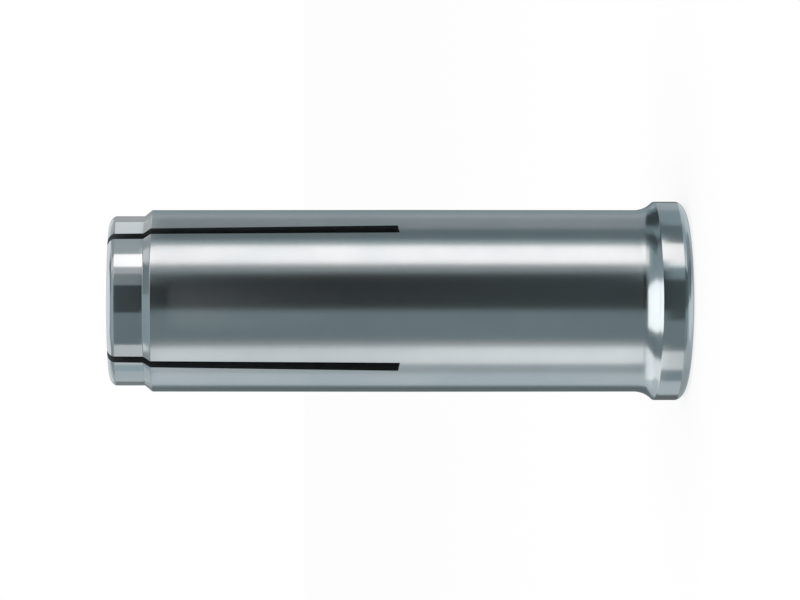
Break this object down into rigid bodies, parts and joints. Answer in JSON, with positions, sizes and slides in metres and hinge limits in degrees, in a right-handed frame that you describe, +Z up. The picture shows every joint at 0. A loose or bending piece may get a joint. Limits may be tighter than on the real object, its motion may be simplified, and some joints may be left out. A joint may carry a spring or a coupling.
{
  "type": "drop-in anchor",
  "caption": "Steel drop-in anchor: a lipped sleeve with a threaded socket, a slotted nose and a captive expander plug that slides in its tapered bore.",
  "frame": {"origin": "centre of the lip's end face, where the thread's mouth is, at the bottom of the part", "axes": "+Z up the bore from the lip to the slotted nose; -Y is the side the picture shows, with a leg in its middle and a slot above and below it"},
  "size_m": [0.0174, 0.0174, 0.05],
  "materials": {
    "zinc_plated_steel": "satin zinc plating, faint turning grain",
    "plug_steel": "satin, as turned"
  },
  "bodies": {
    "sleeve": {"anchor_sleeve": "zinc_plated_steel"},
    "plug": {"expander_plug": "plug_steel"}
  },
  "joints": [
    {"name": "plug_drive", "type": "slide", "parent": "sleeve", "child": "plug", "axis": [0, 0, 1], "range_m": [0, 0.004]}
  ]
}
